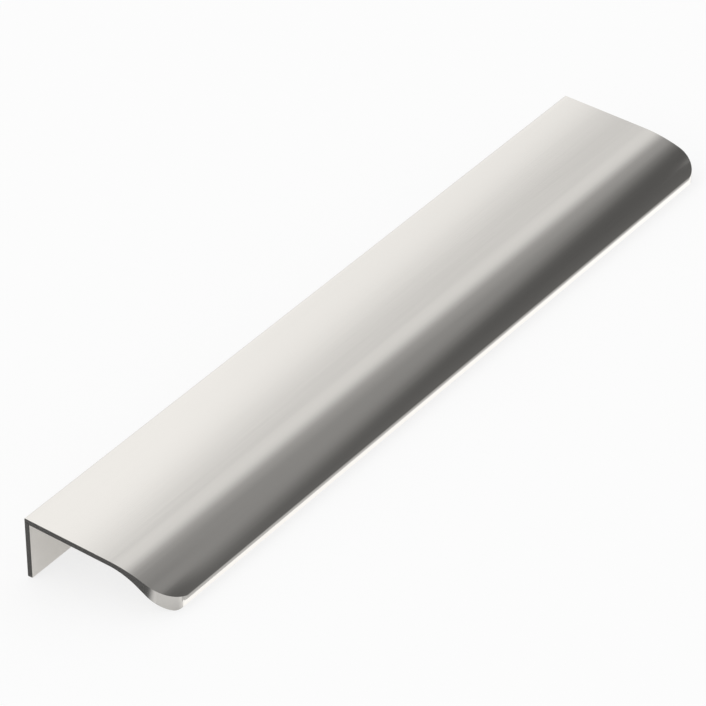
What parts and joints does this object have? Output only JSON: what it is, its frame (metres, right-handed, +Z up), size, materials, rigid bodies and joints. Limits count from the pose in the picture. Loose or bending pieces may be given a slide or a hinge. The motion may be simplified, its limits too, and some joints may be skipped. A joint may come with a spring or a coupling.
{
  "type": "cabinet edge pull",
  "caption": "Long angle-section edge pull: a flat plate with a screw flange at the back and a thick lip bent down at the front for the fingers.",
  "frame": {"origin": "on the surface it stands on, below the middle of its box", "axes": "+X along the pull, -Y towards the finger lip, +Z up; the plate leans down to the front by 12.9 degrees, because the pull rests on its flange's edge and its lip"},
  "size_m": [0.2, 0.0414, 0.0158],
  "materials": {
    "brushed_metal": "fine satin brushing along the length, stainless-steel tone"
  },
  "bodies": {
    "root": {"pull_profile": "brushed_metal"}
  },
  "joints": []
}
